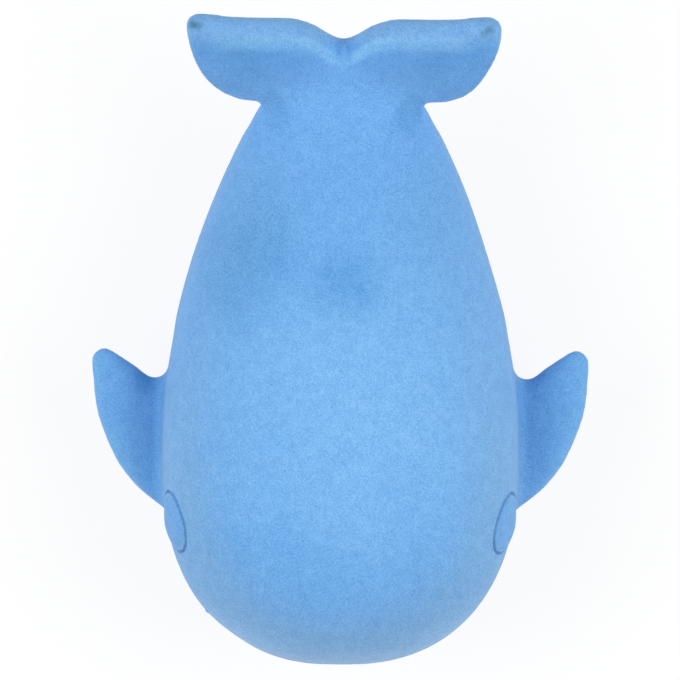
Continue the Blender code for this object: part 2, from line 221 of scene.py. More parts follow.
def flipper_web(side):
    """The filling of the corner behind a flipper, with a hollow round."""
    middle = WEB_CORNER + Vector((WEB_RADIUS, WEB_RADIUS))
    inner = WEB_CORNER - Vector((WEB_ROOT, WEB_ROOT))
    outline = [(inner.x, inner.y), (inner.x, middle.y)]
    for step in range(WEB_STEPS + 1):
        turn = math.pi * (1 + step / (2 * WEB_STEPS))
        outline.append((middle.x + WEB_RADIUS * math.cos(turn), middle.y + WEB_RADIUS * math.sin(turn)))
    outline.append((middle.x, inner.y))
    levels = [[(side * x, y, z) for x, y in outline] for z in (WEB_LOW, WEB_TOP)]
    return prism("flipper_web", *levels)


def turned(name, profile, steps=96):
    """A solid turned on the squeaker's upright axis from a profile of radii and heights."""
    mesh = bpy.data.meshes.new(name)
    corners = [(radius, 0, height) for radius, height in profile]
    edges = [(corner, corner + 1) for corner in range(len(corners) - 1)]
    if profile[0][0] > 0:
        edges.append((len(corners) - 1, 0))
    mesh.from_pydata(corners, edges, [])
    piece = new_piece(name, mesh)
    turning = {"steps": steps, "render_steps": steps}
    modify(piece, "SCREW", use_merge_vertices=True, merge_threshold=MERGE_DISTANCE, **turning)
    for vertex in piece.data.vertices:
        vertex.co += PORT_PLACE
    point_outward(piece)
    return piece


def rod(name, radius, low, high):
    return turned(name, [(0, low), (radius, low), (radius, high), (0, high)])


solids = grown_copies(BODY_NODES + FIN_NODES)
solids += [flipper_web(side) for side in (-1, 1)]
solids.append(rod("port_filling", PORT_FILL_RADIUS, -FORM_OVERLAP, PORT_FILL_HEIGHT))
form = join(solids, "moulded_form")
remesh(form, FORM_VOXEL)
smooth(form, FORM_SMOOTHING)
soften(form, "body", body_share, BODY_SMOOTHING)
soften(form, "valley", valley_share, VALLEY_SMOOTHING)
soften(form, "tail_root", tail_root_share, TAIL_ROOT_SMOOTHING)
grow(form, -FORM_SHRINK)
for vertex in form.data.vertices:
    place = vertex.co
    along = between(place.y, FULLNESS_FRONT, FULLNESS_BACK)
    fuller = FLIPPER_FULLNESS * along * ramp(abs(place.x), *FULLNESS_ROOT)
    place.x += math.copysign(fuller, place.x)
    for x, y, reach, across, back in CAST_SHIFTS:
        near = math.exp(-((place.x - x) ** 2 + (place.y - y) ** 2) / reach**2)
        place.x += across * near
        place.y += back * near
    place.z = max(place.z, 0.0)


# The rim of the flukes.
# Moulded with the rest of the form: a flat lip along the trailing edge, cast a little askew, which sinks at
# the notch, with two fine creases there, and a pit near each tip where the rubber didn't fill the mould.

FLUKE_START = 0.055
RIM_RISE = (0.060, 0.072)
RIM_SETBACK = 0.0008
RIM_SKEW = 0.007
RIM_SHIFT = 0.0002
NOTCH_RISE = (0.057, 0.067)
NOTCH_SINK = 0.003
NOTCH_WIDTH = 0.0055
NOTCH_PULL = 0.0002
NOTCH_SMOOTHING = 40
NOTCH_FRONT = (0.063, 0.067)
NOTCH_SIDE = (0.003, 0.007)
LIP_FLAT = 0.0006
LIP_END = (0.031, 0.035)
LIP_FULLNESS = 3
LIP_STEP = 0.001
LIP_SMOOTHING = 5
LIP_FRONT = (0.060, 0.066)
DETAIL_FRONT = 0.060
DETAIL_FOOT = 0.040
DETAIL_HALF_WIDTH = 0.004
DETAIL_CUTS = 2
FACING_UP = 0.2
CREASES = (-0.0008, 0.0015)
CREASE_DEPTH = 0.0006
CREASE_HALF_WIDTH = 0.0009
CREASE_FRONT = (0.0605, 0.0660)
CREASE_TURN = (0.2, 0.6)
PITS = ((-0.0338, 0.0717, 0.0014), (0.0331, 0.0704, 0.0012))
PIT_DEPTH = 0.0004


def notch_share(place):
    """1 round the notch in the rim, 0 away from it."""
    return ramp(place.y, *NOTCH_FRONT) * (1 - ramp(abs(place.x), *NOTCH_SIDE))


def lip_share(place):
    return ramp(place.y, *LIP_FRONT)


for vertex in form.data.vertices:
    place = vertex.co
    rim = ramp(place.y, *RIM_RISE)
    notch = math.exp(-((place.x / NOTCH_WIDTH) ** 2))
    place.z -= NOTCH_SINK * notch * ramp(place.y, *NOTCH_RISE)
    place.y -= rim * (RIM_SETBACK + RIM_SKEW * place.x + NOTCH_PULL * notch)
    place.x += rim * RIM_SHIFT
soften(form, "notch", notch_share, NOTCH_SMOOTHING)

lip_heights = {}
for vertex in form.data.vertices:
    if vertex.co.y > FLUKE_START:
        column = round(vertex.co.x / LIP_STEP)
        lip_heights[column] = max(lip_heights.get(column, 0.0), vertex.co.z)
first_column = min(lip_heights)
last_column = max(lip_heights)


def lip_height(x):
    """The height of the flukes' rim at x, between the columns it was measured in."""
    column = math.floor(x / LIP_STEP)
    share = x / LIP_STEP - column
    low = min(max(column, first_column), last_column)
    high = min(max(column + 1, first_column), last_column)
    return lip_heights[low] * (1 - share) + lip_heights[high] * share


for vertex in form.data.vertices:
    if vertex.co.y > FLUKE_START:
        height = lip_height(vertex.co.x)
        flat = LIP_FLAT * (1 - ramp(abs(vertex.co.x), *LIP_END))
        depth = max(0.0, height - vertex.co.z)
        vertex.co.z = height - (depth**LIP_FULLNESS + flat**LIP_FULLNESS) ** (1 / LIP_FULLNESS)
soften(form, "lip", lip_share, LIP_SMOOTHING)


def refine(piece, chosen, cuts):
    """Divides the faces whose middle is chosen."""
    only(piece)
    bpy.ops.object.mode_set(mode="EDIT")
    bpy.ops.mesh.select_mode(type="FACE")
    bpy.ops.mesh.select_all(action="DESELECT")
    bpy.ops.object.mode_set(mode="OBJECT")
    for face in piece.data.polygons:
        face.select = chosen(face.center)
    bpy.ops.object.mode_set(mode="EDIT")
    bpy.ops.mesh.subdivide(number_cuts=cuts, smoothness=0)
    bpy.ops.object.mode_set(mode="OBJECT")


def press(piece, push):
    """Moves each vertex by what push gives for its place and normal."""
    moves = [push(vertex.co, vertex.normal) for vertex in piece.data.vertices]
    for vertex, move in zip(piece.data.vertices, moves):
        if move:
            vertex.co += move


def on_rim_detail(place):
    if place.y < DETAIL_FRONT or place.z < DETAIL_FOOT:
        return False
    near_pit = any(math.hypot(place.x - x, place.y - y) < 2 * radius for x, y, radius in PITS)
    return near_pit or abs(place.x) < DETAIL_HALF_WIDTH


def crease_push(place, normal):
    if place.y < DETAIL_FRONT or normal.z < FACING_UP:
        return None
    along = ramp(place.y, *CREASE_FRONT) * (1 - ramp(normal.y, *CREASE_TURN))
    for x in CREASES:
        share = 1 - ((place.x - x) / CREASE_HALF_WIDTH) ** 2
        if share > 0:
            return normal * -CREASE_DEPTH * along * share**2
    return None


def pit_push(place, normal):
    if normal.z < FACING_UP:
        return None
    for x, y, radius in PITS:
        share = 1 - ((place.x - x) ** 2 + (place.y - y) ** 2) / radius**2
        if share > 0:
            return Vector((0, 0, -PIT_DEPTH * share))
    return None


refine(form, on_rim_detail, DETAIL_CUTS)
press(form, crease_push)
press(form, pit_push)


# The grooves round the eyes.
# Each eye is a disc in the side of the head, with a fine oval groove left about it. The groove is pressed
# into the form before the disc is cut out of it, so that disc and socket share its slopes.

EYE_PLACE = Vector((0.03756, -0.04223, 0.03571))
EYE_FACING = Vector((0.9289, -0.1839, 0.3215))
EYE_LONG_RADIUS = 0.0072
EYE_SHORT_RADIUS = 0.0063
EYE_TURN = math.radians(24)
GROOVE_DEPTH = 0.0013
GROOVE_HALF_WIDTH = 0.00036
GROOVE_CUTS = 4
FINE_REACH = 0.0092
FINE_INSIDE = 3 * GROOVE_HALF_WIDTH
SMALLEST_SHARE = 0.1


def set_eye(side):
    """An eye's middle, the way it faces, its long axis, which rises to the nose, and its short one."""
    facing = Vector((side * EYE_FACING.x, EYE_FACING.y, EYE_FACING.z)).normalized()
    middle = Vector((side * EYE_PLACE.x, EYE_PLACE.y, EYE_PLACE.z))
    forward = (facing * facing.y - Vector((0, 1, 0))).normalized()
    upward = facing.cross(forward) * -side
    long_axis = forward * math.cos(EYE_TURN) + upward * math.sin(EYE_TURN)
    short_axis = upward * math.cos(EYE_TURN) - forward * math.sin(EYE_TURN)
    return SimpleNamespace(middle=middle, facing=facing, long_axis=long_axis, short_axis=short_axis)


left_eye = set_eye(-1)
right_eye = set_eye(1)


def beyond_edge(place, eye):
    """How far a place near an eye lies outside the eye's edge, or None where it isn't near."""
    offset = place - eye.middle
    if offset.length > FINE_REACH:
        return None
    along = offset.dot(eye.long_axis)
    across = offset.dot(eye.short_axis)
    share = math.hypot(along / EYE_LONG_RADIUS, across / EYE_SHORT_RADIUS)
    return math.hypot(along, across) * (1 - 1 / max(share, SMALLEST_SHARE))


def on_eye_groove(place):
    for eye in (left_eye, right_eye):
        beyond = beyond_edge(place, eye)
        if beyond is not None and beyond > -FINE_INSIDE:
            return True
    return False


def groove_push(place, normal):
    for eye in (left_eye, right_eye):
        beyond = beyond_edge(place, eye)
        if beyond is not None and abs(beyond) < GROOVE_HALF_WIDTH:
            return eye.facing * -GROOVE_DEPTH * (1 - (beyond / GROOVE_HALF_WIDTH) ** 2)
    return None


refine(form, on_eye_groove, GROOVE_CUTS)
press(form, groove_push)


# The mould's parting line.
# The two halves of the mould leave a fine ridge of flash round the body, with the bonded seam of the two
# halves of the skin in it. It is part of the rubber, and fades out by the fins.

SEAM_LEVEL = 0.026
SEAM_RISE = 0.009
SEAM_RISE_LENGTH = 0.0545
SEAM_RISE_POWER = 4
SEAM_END = 0.065
FLASH_HEIGHT = 0.0002
FLASH_HALF_WIDTH = 0.0003
FLASH_REACH = 3
FLASH_FLIPPER_FRONT = (-0.046, -0.040)
FLASH_FLIPPER_BACK = (0.000, 0.006)
FLASH_TAIL = (0.046, 0.050)
FLASH_CUTS = 3
NUB_PLACE = Vector((-0.0306, -0.0630, SEAM_LEVEL))
NUB_HEIGHT = 0.0003
NUB_REACH = 0.0005


def seam_height(y):
    return SEAM_LEVEL + SEAM_RISE * (max(0.0, min(y, SEAM_END)) / SEAM_RISE_LENGTH) ** SEAM_RISE_POWER


def flash_share(place):
    """1 where the parting line shows, 0 by the fins."""
    flipper = between(place.y, FLASH_FLIPPER_FRONT, FLASH_FLIPPER_BACK)
    return (1 - flipper) * (1 - ramp(place.y, *FLASH_TAIL))


def on_flash(place):
    near = abs(place.z - seam_height(place.y)) < FLASH_REACH * FLASH_HALF_WIDTH
    return near and flash_share(place) > 0


def flash_push(place, normal):
    rise = (place.z - seam_height(place.y)) / FLASH_HALF_WIDTH
    if abs(rise) > FLASH_REACH:
        return None
    nub = NUB_HEIGHT * math.exp(-((place - NUB_PLACE).length_squared) / NUB_REACH**2)
    return normal * (FLASH_HEIGHT * flash_share(place) + nub) * math.exp(-(rise**2))


def copy_of(piece, name):
    return new_piece(name, piece.data.copy())


refine(form, on_flash, FLASH_CUTS)
press(form, flash_push)
only(form)
bpy.ops.object.shade_smooth()
whole_form = copy_of(form, "whole_form")


# The foam rubber.
# A chalky blue latex foam, matte, with fine grain, small open pores and a paler bloom over the back. Its
# colour is deepest on the tail and in some cloudy patches, and greyer down the sides with dust and painted
# sheen. Painted shade darkens the pores, the flukes' faces, the hollows at their roots, their lower edges
# and the flippers' roots; a painted highlight runs along the flukes' rim and over the nose.

DEEP_BLUE = (0.158, 0.436, 0.890)
CHALKY_BLUE = (0.218, 0.507, 0.924)
PATCH_TONE_AND_SHADE_BLUE = (0.105, 0.350, 0.745)
DUST_AND_SHEEN_BLUE = (0.215, 0.455, 0.780)
NOSE_HIGHLIGHT_BLUE = (0.310, 0.580, 0.950)
FIN_BLUE = (0.174, 0.452, 0.875)
RIM_HIGHLIGHT_BLUE = (0.320, 0.670, 0.980)
GRAIN_DARK = (0.72, 0.82, 0.90)
GRAIN_LIGHT = (1.28, 1.18, 1.10)
PORE_SHADE_BLUE = (0.060, 0.190, 0.420)
PIT_GREEN = (0.035, 0.130, 0.170)
SHEEN_BLUE = (0.80, 0.90, 1.0)
CLOUDS_PER_METRE = 60
MOTTLES_PER_METRE = 420
GRAINS_PER_METRE = 2700
BLOOM_PLACE = Vector((0.007, -0.018, 0.058))
BLOOM_CORE = 0.010
BLOOM_EDGE = 0.064
BLOOM_CLOUDS = (0.25, 0.6, 0.6, 1.0)
RAGGED_CLOUDS = (0.3, 0.7, 1.0, 0.35)
GRAIN_SPAN = (0.3, 0.7)
FIN_START = (0.043, 0.047)
BODY_END = (0.047, 0.043)
FLANK_TOP = (0.054, 0.043)
FLANK_FOOT = (0.020, 0.027)
FLANK_STRENGTH = (0.008, -0.040, 0.3, 0.8)
EYE_CORE = 0.0058
EYE_EDGE = 0.0068
EYE_FLANK = 0.3
EYE_SHADE = 0.35
RIM_DUST_AND_SHEEN = (0.0665, 0.0695, 0.0, 0.6)
RIM_DROP = (0.0, 0.009, 0.0038, 0.0)
RIM_UPPER_SIDE = (0.0492, 0.0512)
RIM_LIGHT_FRONT = (0.0652, 0.0668)
RIM_LIGHT_BACK = (0.0698, 0.0682)
RIM_LIGHT_END = (0.032, 0.026)
RIM_LIGHT_STRENGTH = (0.012, 0.004, 0.33, 0.48)
RIM_LIGHT_MIDDLE = (0.0, 0.004, 0.5, 1.0)
NOSE_START = (-0.056, -0.072)
NOSE_TOP = (0.046, 0.034)
NOSE_STRENGTH = 0.65
ROOT_INNER = (0.0385, 0.0412)
ROOT_OUTER = (0.0458, 0.0432)
ROOT_TOP = (0.031, 0.026)
ROOT_BACK = (0.002, -0.004)
ROOT_STRENGTH = (-0.038, -0.010, 0.4, 0.65)
SPECKS_PER_METRE = 800
SPECK_RADIUS = 0.00024
SPECKS_KEPT = 0.30
SPECK_STRENGTH = 0.25
PORES_PER_METRE = 300
PORE_RADIUS = 0.00028
PORES_KEPT = 0.55
PORE_STRENGTH = 0.5
RUBBER_ROUGHNESS = (0.3, 0.7, 0.80, 0.95)
RUBBER_RELIEF = 0.0003
STAIN_CORE = 0.2
STAIN_EDGE = 1.2
STAIN_MOTTLE = (0.35, 0.65, 0.6, 1.0)
# Stains in the pits: x and y of the middle, radius and strength.
PIT_STAINS = (
    (-0.0344, 0.0718, 0.0014, 0.75),
    (-0.0330, 0.0715, 0.0014, 0.60),
    (0.0337, 0.0709, 0.0013, 0.50),
    (0.0325, 0.0700, 0.0013, 0.40),
)
# Deeper patches: x and y of the middle, radius of the core, radius of the edge and strength. The first lie
# on the back and head and are the rubber's own cloudy tone; the rest are painted shade, on the flukes'
# faces, in the hollows at their roots and along their lower edges, and by the flippers' roots.
TONE_AND_SHADE_PATCHES = (
    (-0.0220, 0.0190, 0.0040, 0.0220, 1.0),
    (0.0010, 0.0130, 0.0020, 0.0140, 0.9),
    (-0.0280, -0.0500, 0.0030, 0.0130, 0.4),
    (-0.0100, -0.0550, 0.0040, 0.0190, 0.35),
    (0.0120, -0.0580, 0.0040, 0.0170, 0.35),
    (-0.0270, 0.0622, 0.0070, 0.0125, 0.7),
    (0.0270, 0.0615, 0.0070, 0.0125, 0.65),
    (-0.0160, 0.0622, 0.0050, 0.0115, 0.5),
    (0.0160, 0.0618, 0.0050, 0.0115, 0.45),
    (-0.0158, 0.0546, 0.0015, 0.0048, 1.0),
    (-0.0145, 0.0520, 0.0020, 0.0060, 0.8),
    (0.0160, 0.0530, 0.0018, 0.0052, 1.0),
    (0.0155, 0.0500, 0.0020, 0.0060, 0.9),
    (-0.0165, 0.0551, 0.0008, 0.0032, 0.9),
    (-0.0150, 0.0540, 0.0008, 0.0032, 0.9),
    (-0.0150, 0.0506, 0.0010, 0.0036, 0.8),
    (0.0164, 0.0541, 0.0008, 0.0034, 0.9),
    (0.0164, 0.0512, 0.0010, 0.0036, 0.7),
    (-0.0250, 0.0575, 0.0008, 0.0034, 1.0),
    (-0.0215, 0.0565, 0.0008, 0.0034, 0.8),
    (0.0228, 0.0557, 0.0008, 0.0034, 1.0),
    (0.0262, 0.0565, 0.0008, 0.0034, 0.8),
    (-0.0389, -0.0123, 0.0020, 0.0085, 0.5),
    (0.0389, -0.0123, 0.0020, 0.0085, 0.4),
    (-0.0455, -0.0107, 0.0008, 0.0042, 1.0),
)


def add_node(tree, kind, inputs=(), **settings):
    """A shader node, with its settings, and its sockets set to a value or linked."""
    node = tree.nodes.new(kind)
    for setting, value in settings.items():
        setattr(node, setting, value)
    for socket, value in dict(inputs).items():
        if isinstance(value, bpy.types.NodeSocket):
            tree.links.new(value, node.inputs[socket])
        else:
            node.inputs[socket].default_value = value
    return node


def noise(tree, place, scale, detail=2.0, roughness=0.5):
    """A noise about 0.5, with its features about 1 / scale metres across."""
    sockets = {"Vector": place, "Scale": scale, "Detail": detail, "Roughness": roughness}
    return add_node(tree, "ShaderNodeTexNoise", sockets).outputs["Fac"]


def span(tree, value, low, high, out_low=0.0, out_high=1.0):
    """A value's stretch from low to high, smoothly mapped and held at its ends."""
    sockets = {"Value": value, "From Min": low, "From Max": high, "To Min": out_low, "To Max": out_high}
    return add_node(tree, "ShaderNodeMapRange", sockets, interpolation_type="SMOOTHSTEP").outputs[0]


def sums(tree, operation, first, second):
    return add_node(tree, "ShaderNodeMath", {0: first, 1: second}, operation=operation).outputs[0]


def product(tree, *values):
    result = values[0]
    for value in values[1:]:
        result = sums(tree, "MULTIPLY", result, value)
    return result


def tint(tree, share, first, second):
    """The first colour, giving way to the second by that share."""
    sockets = {0: share}
    for socket, colour in ((6, first), (7, second)):
        sockets[socket] = (*colour, 1) if isinstance(colour, tuple) else colour
    return add_node(tree, "ShaderNodeMix", sockets, data_type="RGBA").outputs[2]


def spot(tree, place, middle, core, edge):
    """1 within core of a point, falling to 0 at edge."""
    sockets = {0: place, 1: middle}
    away = add_node(tree, "ShaderNodeVectorMath", sockets, operation="DISTANCE").outputs["Value"]
    return span(tree, away, core, edge, 1.0, 0.0)


def scattered(tree, place, scale, radius, kept):
    """Small round dots, at most one to a cell, in that share of the cells."""
    sockets = {"Vector": place, "Scale": scale}
    cells = add_node(tree, "ShaderNodeTexVoronoi", sockets)
    dot = span(tree, cells.outputs["Distance"], 0.5 * radius * scale, radius * scale, 1.0, 0.0)
    lot = add_node(tree, "ShaderNodeSeparateColor", {0: cells.outputs["Color"]}).outputs[0]
    return product(tree, dot, sums(tree, "LESS_THAN", lot, kept))


def bump(tree, shader, height, strength, distance):
    sockets = {"Height": height, "Strength": strength, "Distance": distance}
    normal = add_node(tree, "ShaderNodeBump", sockets).outputs["Normal"]
    tree.links.new(normal, shader.inputs["Normal"])


def new_material(name):
    """A material, its node tree, its shader and the place on the object."""
    material = bpy.data.materials.new(name)
    material.use_nodes = True
    tree = material.node_tree
    place = add_node(tree, "ShaderNodeTexCoord").outputs["Object"]
    return material, tree, tree.nodes["Principled BSDF"], place


def surface_point(x, y):
    """The highest point of the form over x and y."""
    return whole_form.ray_cast(Vector((x, y, 0.1)), Vector((0, 0, -1)))[1]


def rim_light(tree, axes, aside):
    """Painted highlight: the pale band on the flukes' upper side, which follows the rim down into the
    notch.
    """
    drop = span(tree, aside, *RIM_DROP)
    along = sums(tree, "ADD", axes["Y"], drop)
    height = sums(tree, "ADD", axes["Z"], drop)
    band = product(tree, span(tree, along, *RIM_LIGHT_FRONT), span(tree, along, *RIM_LIGHT_BACK))
    band = product(tree, band, span(tree, aside, *RIM_LIGHT_END), span(tree, aside, *RIM_LIGHT_STRENGTH))
    return product(tree, band, span(tree, height, *RIM_UPPER_SIDE), span(tree, aside, *RIM_LIGHT_MIDDLE))


def root_shade(tree, axes, aside):
    """The shade in the valley along a flipper's root, deepest at its back."""
    shade = product(tree, span(tree, aside, *ROOT_INNER), span(tree, aside, *ROOT_OUTER))
    shade = product(tree, shade, span(tree, axes["Z"], *ROOT_TOP), span(tree, axes["Y"], *ROOT_BACK))
    return product(tree, shade, span(tree, axes["Y"], *ROOT_STRENGTH))


def cloudy_blue(tree, place, clouds):
    """The rubber's colour: bloom, fins, deeper patches, dust, eyes, and painted shade, sheen and
    highlights.
    """
    axes = add_node(tree, "ShaderNodeSeparateXYZ", {0: place}).outputs
    aside = sums(tree, "ABSOLUTE", axes["X"], 0.0)
    bloom = spot(tree, place, BLOOM_PLACE, BLOOM_CORE, BLOOM_EDGE)
    bloom = product(tree, bloom, span(tree, clouds, *BLOOM_CLOUDS))
    colour = tint(tree, bloom, DEEP_BLUE, CHALKY_BLUE)
    colour = tint(tree, span(tree, aside, *FIN_START), colour, FIN_BLUE)
    ragged = span(tree, clouds, *RAGGED_CLOUDS)
    # Deeper patches of the rubber's own tone, and painted shade on the flukes and by the flippers' roots.
    for x, y, core, edge, strength in TONE_AND_SHADE_PATCHES:
        patch = spot(tree, place, surface_point(x, y), core, edge)
        colour = tint(tree, product(tree, patch, ragged, strength), colour, PATCH_TONE_AND_SHADE_BLUE)

    flank = product(tree, span(tree, axes["Z"], *FLANK_TOP), span(tree, axes["Z"], *FLANK_FOOT))
    flank = product(tree, flank, span(tree, axes["Y"], *FLANK_STRENGTH), span(tree, aside, *BODY_END))
    for eye in (left_eye, right_eye):
        disc = spot(tree, place, eye.middle, EYE_CORE, EYE_EDGE)
        flank = product(tree, flank, span(tree, disc, 0.0, 1.0, 1.0, EYE_FLANK))
        colour = tint(tree, product(tree, disc, EYE_SHADE), colour, PATCH_TONE_AND_SHADE_BLUE)
    # Dust and painted sheen: greyer down the sides and across the flukes' rim.
    dust_and_sheen = sums(tree, "MAXIMUM", flank, span(tree, axes["Y"], *RIM_DUST_AND_SHEEN))
    colour = tint(tree, dust_and_sheen, colour, DUST_AND_SHEEN_BLUE)
    # Painted highlight along the flukes' rim.
    colour = tint(tree, rim_light(tree, axes, aside), colour, RIM_HIGHLIGHT_BLUE)
    # Painted highlight on the nose.
    nose = product(tree, span(tree, axes["Y"], *NOSE_START), span(tree, axes["Z"], *NOSE_TOP))
    colour = tint(tree, product(tree, nose, NOSE_STRENGTH), colour, NOSE_HIGHLIGHT_BLUE)
    return tint(tree, root_shade(tree, axes, aside), colour, PATCH_TONE_AND_SHADE_BLUE)


def blue_foam_rubber():
    material, tree, shader, place = new_material("blue_foam_rubber")
    clouds = noise(tree, place, CLOUDS_PER_METRE, detail=4, roughness=0.65)
    mottle = noise(tree, place, MOTTLES_PER_METRE, detail=3, roughness=0.6)
    grain = noise(tree, place, GRAINS_PER_METRE, detail=1, roughness=0.6)
    colour = cloudy_blue(tree, place, clouds)

    fine = sums(tree, "ADD", product(tree, mottle, 0.3), product(tree, grain, 0.7))
    sockets = {0: colour, 1: tint(tree, span(tree, fine, *GRAIN_SPAN), GRAIN_DARK, GRAIN_LIGHT)}
    colour = add_node(tree, "ShaderNodeVectorMath", sockets, operation="MULTIPLY").outputs[0]
    # Painted shade in the small pores, in two sizes.
    specks = scattered(tree, place, SPECKS_PER_METRE, SPECK_RADIUS, SPECKS_KEPT)
    colour = tint(tree, product(tree, specks, SPECK_STRENGTH), colour, PORE_SHADE_BLUE)
    pores = scattered(tree, place, PORES_PER_METRE, PORE_RADIUS, PORES_KEPT)
    colour = tint(tree, product(tree, pores, PORE_STRENGTH), colour, PORE_SHADE_BLUE)
    for x, y, radius, strength in PIT_STAINS:
        stain = spot(tree, place, surface_point(x, y), STAIN_CORE * radius, STAIN_EDGE * radius)
        stain = product(tree, stain, span(tree, mottle, *STAIN_MOTTLE), strength)
        colour = tint(tree, stain, colour, PIT_GREEN)
    tree.links.new(colour, shader.inputs["Base Color"])

    tree.links.new(span(tree, mottle, *RUBBER_ROUGHNESS), shader.inputs["Roughness"])
    shader.inputs["Specular IOR Level"].default_value = 0.3
    shader.inputs["Sheen Weight"].default_value = 0.3
    shader.inputs["Sheen Roughness"].default_value = 0.45
    shader.inputs["Sheen Tint"].default_value = (*SHEEN_BLUE, 1)
    height = sums(tree, "ADD", product(tree, grain, 0.7), product(tree, mottle, 0.4))
    height = sums(tree, "SUBTRACT", height, product(tree, pores, 0.8))
    bump(tree, shader, height, strength=0.45, distance=RUBBER_RELIEF)
    return material


rubber = blue_foam_rubber()


# The eyes.
# Domed foam-rubber discs, which keep the curve of the head, bonded into shallow sockets in its sides. Disc
# and socket are cut apart along the bottom of the groove, with a hair's breadth between them.

EYE_DEPTH = 0.0017
EYE_BLOCK_REACH = 0.004
EYE_BLOCK_SIDES = 160
SOCKET_CLEARANCE = 0.00006
SOCKET_DEPTH = EYE_DEPTH + SOCKET_CLEARANCE
RUBBER_EDGE = math.radians(40)
ON_FORM = 0.00002


def eye_block(name, eye, clearance, depth):
    """An oval block from a depth behind the eye's middle to well outside the head."""
    bpy.ops.object.select_all(action="DESELECT")
    bpy.ops.mesh.primitive_cylinder_add(vertices=EYE_BLOCK_SIDES, radius=1, depth=1)
    block = bpy.context.object
    block.name = name
    long_side = eye.long_axis * (EYE_LONG_RADIUS + clearance)
    short_side = eye.facing.cross(eye.long_axis) * (EYE_SHORT_RADIUS + clearance)
    place = Matrix((long_side, short_side, eye.facing * (depth + EYE_BLOCK_REACH))).transposed().to_4x4()
    place.translation = eye.middle + eye.facing * (EYE_BLOCK_REACH - depth) / 2
    block.data.transform(place)
    return block


def cut(piece, operation, tool, keep_tool=False):
    modify(piece, "BOOLEAN", operation=operation, object=tool, solver="MANIFOLD")
    if not keep_tool:
        bpy.data.objects.remove(tool)


def finish_rubber(piece, node):
    """Gives a cast piece its rubber, and the whole form's normals where it is on the outside."""
    piece.data.materials.clear()
    piece.data.materials.append(rubber)
    piece.vertex_groups.clear()
    only(piece)
    bpy.ops.object.shade_smooth_by_angle(angle=RUBBER_EDGE)
    outside = piece.vertex_groups.new(name="outside")
    on_form = []
    for vertex in piece.data.vertices:
        found = whole_form.closest_point_on_mesh(vertex.co, distance=ON_FORM)[0]
        if found:
            on_form.append(vertex.index)
    outside.add(on_form, 1.0, "REPLACE")
    modify(
        piece,
        "DATA_TRANSFER",
        object=whole_form,
        use_loop_data=True,
        data_types_loops={"CUSTOM_NORMAL"},
        loop_mapping="POLYINTERP_NEAREST",
        vertex_group="outside",
    )
    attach(piece, "toy")
    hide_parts(node)


for eye, node in ((left_eye, "left_eye"), (right_eye, "right_eye")):
    disc = copy_of(form, node + "_disc")
    cut(disc, "INTERSECT", eye_block("disc_block", eye, -SOCKET_CLEARANCE, EYE_DEPTH))
    finish_rubber(disc, node)
for eye in (left_eye, right_eye):
    cut(form, "DIFFERENCE", eye_block("socket_block", eye, SOCKET_CLEARANCE, SOCKET_DEPTH))


# Flippers and flukes.
# Solid foam-rubber fins, cast in one with the body. The cut that parts them from it follows the body's
# own form a little way out, where a fin has left the valley at its root.

FIN_ROOT = 0.0016
FAT_VOXEL = 0.0015
FAT_SMOOTHING = 6
TAIL_START = 0.04

fat_solids = grown_copies(("back_skin", "belly_skin", "foam_core"))
fat_solids.append(rod("fat_port_filling", PORT_FILL_RADIUS, -FIN_ROOT, PORT_FILL_HEIGHT))
fat_body = join(fat_solids, "fat_body")
remesh(fat_body, FAT_VOXEL)
smooth(fat_body, FAT_SMOOTHING)
grow(fat_body, FIN_ROOT)

fins = copy_of(form, "fins")
cut(fins, "DIFFERENCE", fat_body, keep_tool=True)
cut(form, "INTERSECT", fat_body)
edit_all(fins, bpy.ops.mesh.separate, type="LOOSE")
for fin in list(bpy.context.selected_objects):
    middle = sum((vertex.co for vertex in fin.data.vertices), Vector()) / len(fin.data.vertices)
    if middle.y > TAIL_START:
        node = "tail_flukes"
    elif middle.x < 0:
        node = "left_flipper"
    else:
        node = "right_flipper"
    fin.name = node + "_cast"
    finish_rubber(fin, node)


# The foam core.
# Soft open-celled foam that fills the skin, poured in before the halves are bonded. It leaves an air space
# round the squeaker, and the skin's inside follows it.

CORE_VOXEL = 0.0012
CORE_SMOOTHING = 5
CORE_CLEARANCE = 0.0001
POCKET_RADIUS = 0.0114
POCKET_LOW = 0.0045
POCKET_HIGH = 0.0252
CREAM = (0.80, 0.74, 0.58)
CELL_SHADE_AND_PATCH_TONE = (0.52, 0.45, 0.31)
CELLS_PER_METRE = 1100.0
PATCHES_PER_METRE = 90
CELL_RELIEF = 0.0006


def open_foam():
    material, tree, shader, place = new_material("core_foam")
    sockets = {"Vector": place, "Scale": CELLS_PER_METRE}
    cells = add_node(tree, "ShaderNodeTexVoronoi", sockets, feature="SMOOTH_F1").outputs["Distance"]
    patches = noise(tree, place, PATCHES_PER_METRE, detail=3)
    # Painted shade in the cells' hollows; the larger patches are the foam's own uneven tone.
    hollow = span(tree, cells, 0.15, 0.45, 0.8, 0.0)
    colour = tint(tree, hollow, CREAM, CELL_SHADE_AND_PATCH_TONE)
    colour = tint(tree, span(tree, patches, 0.4, 0.7, 0.0, 0.3), colour, CELL_SHADE_AND_PATCH_TONE)
    tree.links.new(colour, shader.inputs["Base Color"])
    shader.inputs["Roughness"].default_value = 1
    shader.inputs["Sheen Weight"].default_value = 0.2
    bump(tree, shader, cells, strength=0.7, distance=CELL_RELIEF)
    return material


core = copy_of_node("foam_core", "foam_core_fill")
remesh(core, CORE_VOXEL)
smooth(core, CORE_SMOOTHING)
core.data.materials.clear()
core.data.materials.append(open_foam())
only(core)
bpy.ops.object.shade_smooth()
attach(core, "toy")
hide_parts("foam_core")


# The back and the belly.
# The two halves of the skin, bonded on the parting line. The belly has a flat to stand on and a port for
# the squeaker, with a recess for its flange and a round mouth.

